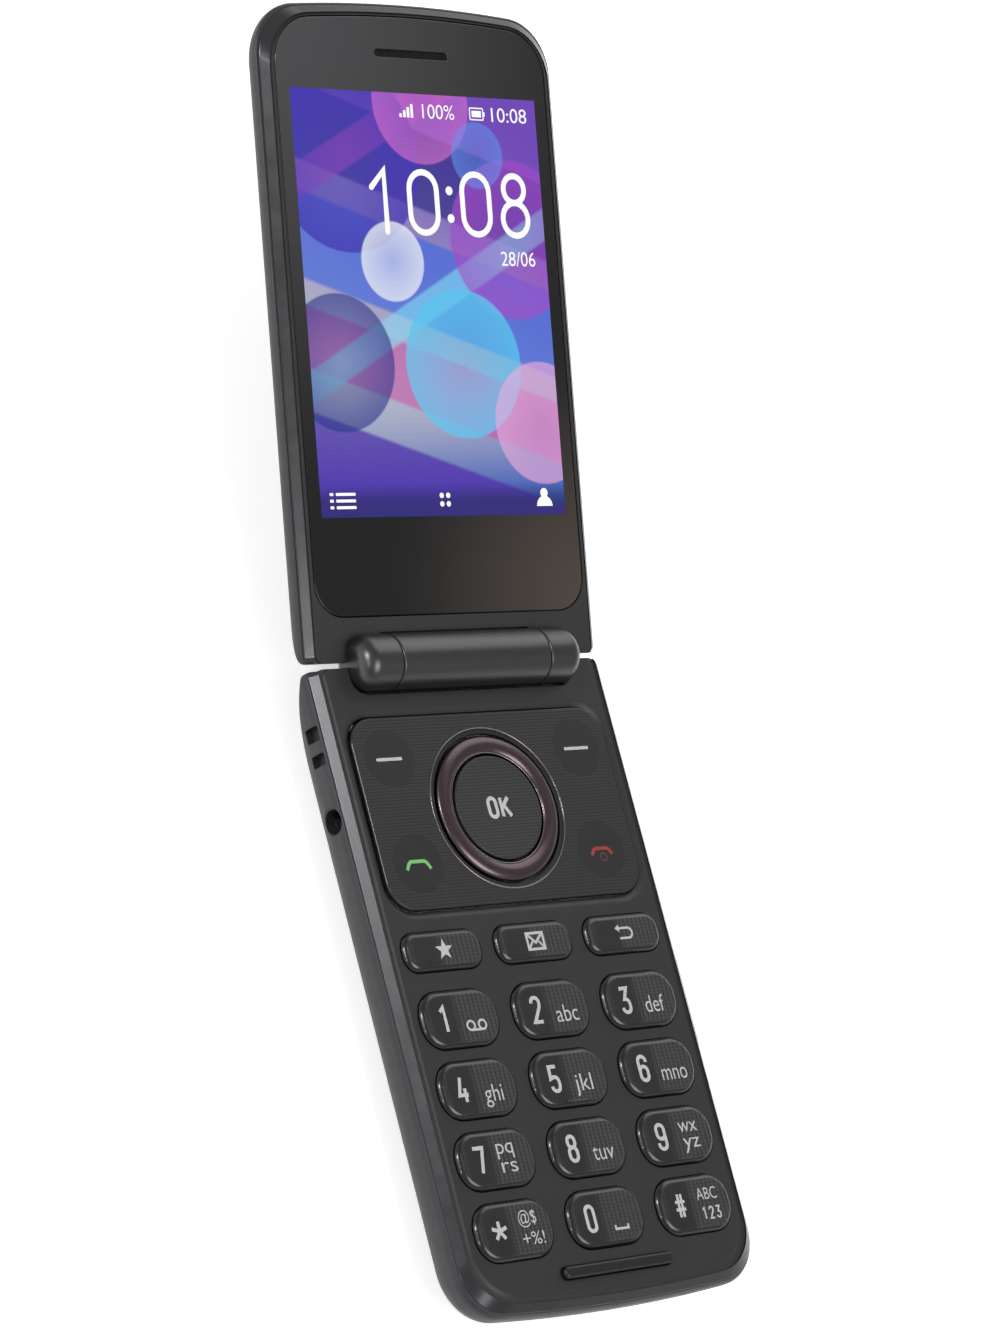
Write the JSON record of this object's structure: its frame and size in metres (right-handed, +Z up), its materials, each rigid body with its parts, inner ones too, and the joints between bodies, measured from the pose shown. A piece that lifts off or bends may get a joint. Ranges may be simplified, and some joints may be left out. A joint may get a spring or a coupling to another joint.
{
  "type": "flip phone",
  "caption": "Clamshell phone opened on its spring hinge: keypad half with ring pad and side sockets, lid with main display inside and a small outer display.",
  "frame": {"origin": "middle of the flat back face of the keypad half, which the phone lies on", "axes": "+X to the user's right, +Y from the keypad towards the hinge and the lid, +Z up out of the keypad"},
  "size_m": [0.0596, 0.1993, 0.0371],
  "materials": {
    "case_plastic": "fine-grained satin charcoal moulding with a paler sloped edge",
    "back_plastic": "fine-grained matte charcoal moulding",
    "key_plastic": "near-black satin moulding with a fine woven grid",
    "ring_gloss": "polished dark purple-brown",
    "window_black": "polished hard-coated acrylic with a black printed border",
    "black_rubber": "soft matte",
    "black_insulator": "moulded",
    "clear_film": "milky film",
    "circuit_board": "green solder mask",
    "battery_wrap": "printed-free grey wrap over a thin can",
    "display_panel": "pale film stack",
    "amber_film": "amber flexible circuit film",
    "bright_steel": "bright",
    "speaker_metal": "satin",
    "dark_metal": "dark plated",
    "gold_metal": "plated",
    "flash_lens": "frosted clear"
  },
  "bodies": {
    "base": {"keypad_front_case": "case_plastic", "rear_case": "back_plastic", "battery_cover": "back_plastic", "closing_bumper": "black_rubber", "dome_sheet": "clear_film", "main_board": "circuit_board", "rf_shield": "bright_steel", "battery": "battery_wrap", "loudspeaker": "speaker_metal", "vibration_motor": "bright_steel", "microphone": "gold_metal", "headphone_jack": "black_insulator", "usb_port": "bright_steel", "volume_switch": "gold_metal", "case_screw_1": "bright_steel", "case_screw_2": "bright_steel", "case_screw_3": "bright_steel", "case_screw_4": "bright_steel", "hinge_can": "bright_steel", "hinge_spring": "bright_steel", "flex_roll": "amber_film"},
    "lid": {"lid_front_case": "case_plastic", "lid_rear_cover": "back_plastic", "display_window": "window_black", "earpiece_mesh": "dark_metal", "lcd_panel": "display_panel", "earpiece_receiver": "speaker_metal", "lid_board": "circuit_board", "outer_window": "window_black", "outer_display": "display_panel", "camera_module": "black_insulator", "camera_ring": "dark_metal", "camera_lens": "window_black", "flash_lens": "flash_lens", "closing_magnet": "bright_steel", "hinge_shaft": "bright_steel", "flex_tail": "amber_film"},
    "key_favourite": {"key_favourite": "key_plastic"},
    "key_message": {"key_message": "key_plastic"},
    "key_back": {"key_back": "key_plastic"},
    "key_1": {"key_1": "key_plastic"},
    "key_2": {"key_2": "key_plastic"},
    "key_3": {"key_3": "key_plastic"},
    "key_4": {"key_4": "key_plastic"},
    "key_5": {"key_5": "key_plastic"},
    "key_6": {"key_6": "key_plastic"},
    "key_7": {"key_7": "key_plastic"},
    "key_8": {"key_8": "key_plastic"},
    "key_9": {"key_9": "key_plastic"},
    "key_star": {"key_star": "key_plastic"},
    "key_0": {"key_0": "key_plastic"},
    "key_hash": {"key_hash": "key_plastic"},
    "function_panel": {"function_panel": "key_plastic"},
    "nav_carrier": {"nav_carrier": "clear_film"},
    "nav_ring": {"nav_ring": "ring_gloss"},
    "ok_key": {"ok_key": "key_plastic"},
    "volume_rocker": {"volume_rocker": "key_plastic"}
  },
  "joints": [
    {"name": "lid_hinge", "type": "hinge", "parent": "base", "child": "lid", "pos_m": [0, 0.05365, 0.0113], "axis": [1, 0, 0], "range_deg": [0, 164.55]},
    {"name": "key_favourite_press", "type": "slide", "parent": "base", "child": "key_favourite", "axis": [0, 0, -1], "range_m": [0, 0.0003], "stiffness_N_per_m": 2000},
    {"name": "key_message_press", "type": "slide", "parent": "base", "child": "key_message", "axis": [0, 0, -1], "range_m": [0, 0.0003], "stiffness_N_per_m": 2000},
    {"name": "key_back_press", "type": "slide", "parent": "base", "child": "key_back", "axis": [0, 0, -1], "range_m": [0, 0.0003], "stiffness_N_per_m": 2000},
    {"name": "key_1_press", "type": "slide", "parent": "base", "child": "key_1", "axis": [0, 0, -1], "range_m": [0, 0.0003], "stiffness_N_per_m": 2000},
    {"name": "key_2_press", "type": "slide", "parent": "base", "child": "key_2", "axis": [0, 0, -1], "range_m": [0, 0.0003], "stiffness_N_per_m": 2000},
    {"name": "key_3_press", "type": "slide", "parent": "base", "child": "key_3", "axis": [0, 0, -1], "range_m": [0, 0.0003], "stiffness_N_per_m": 2000},
    {"name": "key_4_press", "type": "slide", "parent": "base", "child": "key_4", "axis": [0, 0, -1], "range_m": [0, 0.0003], "stiffness_N_per_m": 2000},
    {"name": "key_5_press", "type": "slide", "parent": "base", "child": "key_5", "axis": [0, 0, -1], "range_m": [0, 0.0003], "stiffness_N_per_m": 2000},
    {"name": "key_6_press", "type": "slide", "parent": "base", "child": "key_6", "axis": [0, 0, -1], "range_m": [0, 0.0003], "stiffness_N_per_m": 2000},
    {"name": "key_7_press", "type": "slide", "parent": "base", "child": "key_7", "axis": [0, 0, -1], "range_m": [0, 0.0003], "stiffness_N_per_m": 2000},
    {"name": "key_8_press", "type": "slide", "parent": "base", "child": "key_8", "axis": [0, 0, -1], "range_m": [0, 0.0003], "stiffness_N_per_m": 2000},
    {"name": "key_9_press", "type": "slide", "parent": "base", "child": "key_9", "axis": [0, 0, -1], "range_m": [0, 0.0003], "stiffness_N_per_m": 2000},
    {"name": "key_star_press", "type": "slide", "parent": "base", "child": "key_star", "axis": [0, 0, -1], "range_m": [0, 0.0003], "stiffness_N_per_m": 2000},
    {"name": "key_0_press", "type": "slide", "parent": "base", "child": "key_0", "axis": [0, 0, -1], "range_m": [0, 0.0003], "stiffness_N_per_m": 2000},
    {"name": "key_hash_press", "type": "slide", "parent": "base", "child": "key_hash", "axis": [0, 0, -1], "range_m": [0, 0.0003], "stiffness_N_per_m": 2000},
    {"name": "function_panel_press", "type": "slide", "parent": "base", "child": "function_panel", "axis": [0, 0, -1], "range_m": [0, 0.00025], "stiffness_N_per_m": 2500},
    {"name": "ok_key_press", "type": "slide", "parent": "base", "child": "ok_key", "axis": [0, 0, -1], "range_m": [0, 0.0003], "stiffness_N_per_m": 2000},
    {"name": "nav_up_down", "type": "hinge", "parent": "base", "child": "nav_carrier", "pos_m": [0, 0.0299, 0.0092], "axis": [1, 0, 0], "range_deg": [-1, 1], "stiffness_Nm_per_rad": 0.9},
    {"name": "nav_left_right", "type": "hinge", "parent": "nav_carrier", "child": "nav_ring", "pos_m": [0, 0.0299, 0.0092], "axis": [0, 1, 0], "range_deg": [-1, 1], "stiffness_Nm_per_rad": 0.9},
    {"name": "volume_rocker_tilt", "type": "hinge", "parent": "base", "child": "volume_rocker", "pos_m": [0.02735, -0.00235, 0.0075], "axis": [0, 0, 1], "range_deg": [-2, 2], "stiffness_Nm_per_rad": 0.3}
  ]
}
